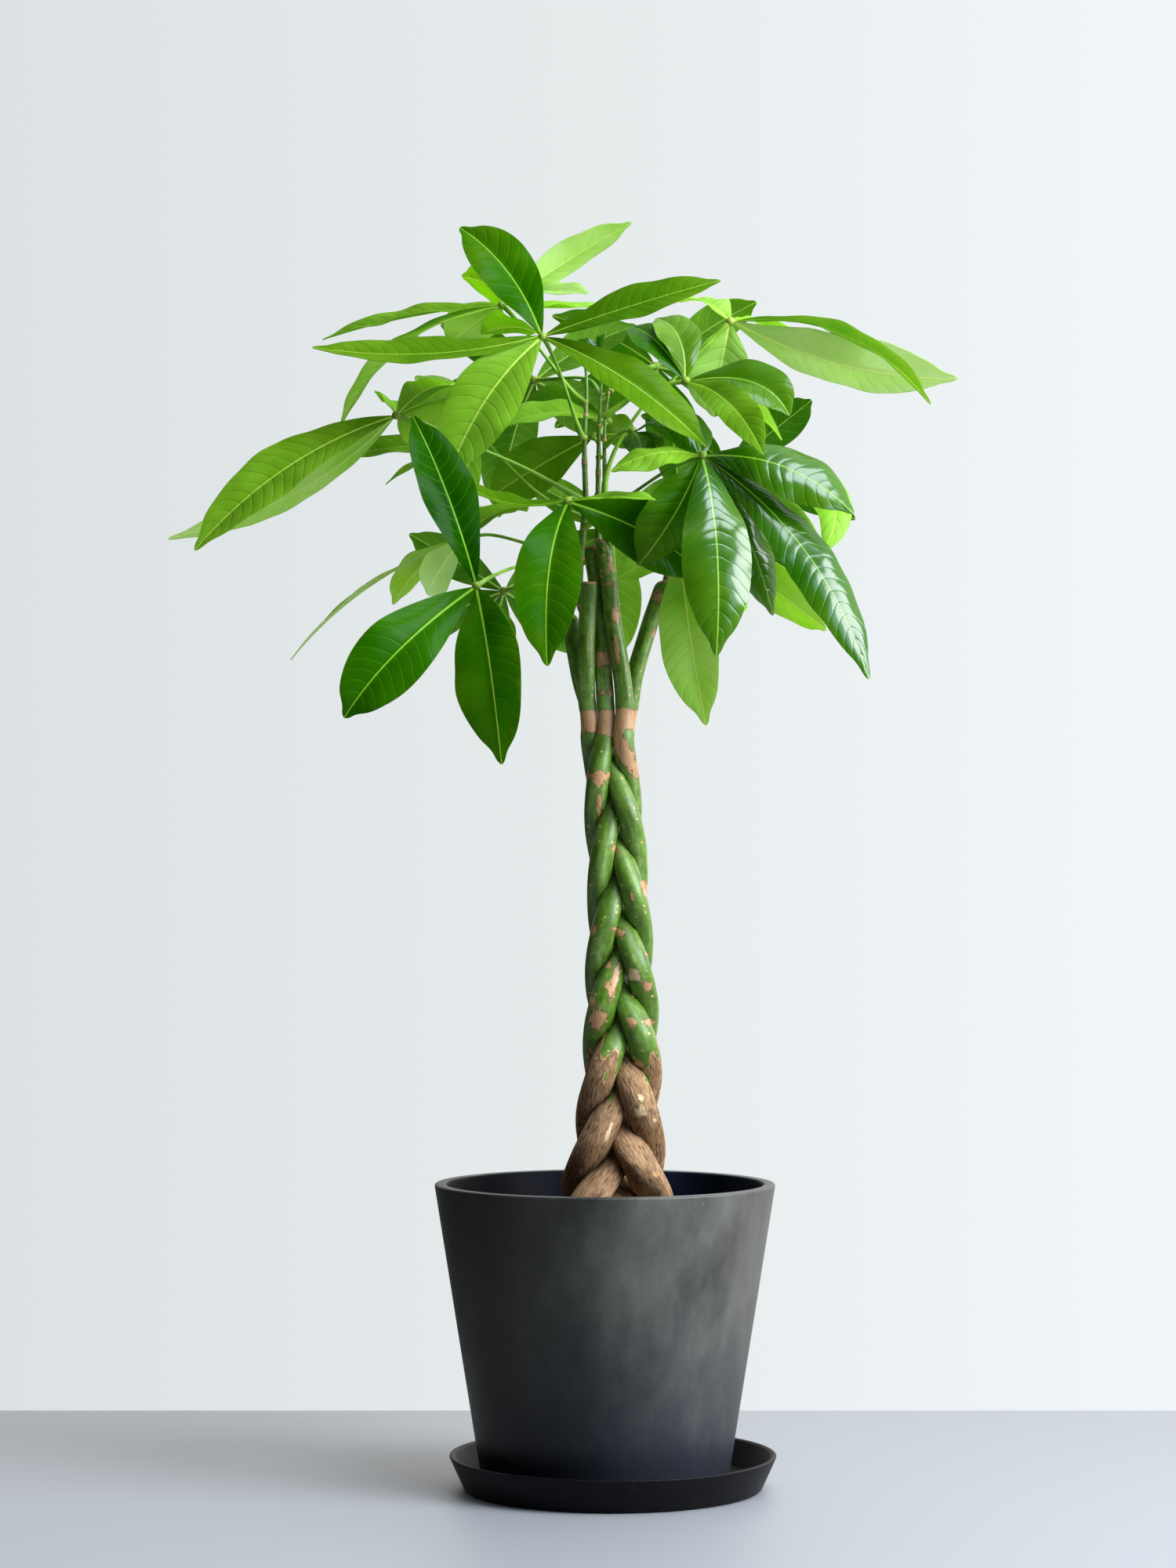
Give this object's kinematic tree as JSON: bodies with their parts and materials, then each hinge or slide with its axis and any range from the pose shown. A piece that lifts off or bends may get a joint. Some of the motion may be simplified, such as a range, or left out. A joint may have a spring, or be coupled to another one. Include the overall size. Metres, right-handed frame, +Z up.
{
  "type": "potted money tree",
  "caption": "Braided money tree with palmate leaves in a tapered round charcoal pot on a saucer, for indoor scenes.",
  "frame": {"origin": "centre of the saucer's underside, on the surface it stands on", "axes": "+Z up along the trunk, +X to the right and +Y away as seen from the front"},
  "size_m": [0.6952, 0.3822, 1.1178],
  "materials": {
    "pot": "matt charcoal fibre-clay composite with faint mottling and small pale scuffs",
    "saucer": "near-black satin plastic",
    "soil": "loose dark potting soil",
    "stem": "corky brown bark below, smooth green cane with tan scars above",
    "leaf": "waxy green blade with pale ribs, paler underneath"
  },
  "bodies": {
    "root": {"saucer": "saucer", "pot": "pot", "soil": "soil", "stem_1": "stem", "stem_2": "stem", "stem_3": "stem", "stem_4": "stem", "stem_5": "stem", "frond_01": "leaf", "frond_02": "leaf", "frond_03": "leaf", "frond_04": "leaf", "frond_05": "leaf", "frond_06": "leaf", "frond_07": "leaf", "frond_08": "leaf", "frond_09": "leaf", "frond_10": "leaf", "frond_11": "leaf", "frond_12": "leaf", "frond_13": "leaf", "frond_14": "leaf", "frond_15": "leaf", "frond_16": "leaf", "frond_17": "leaf", "frond_18": "leaf", "frond_19": "leaf", "frond_20": "leaf", "frond_21": "leaf"}
  },
  "joints": []
}
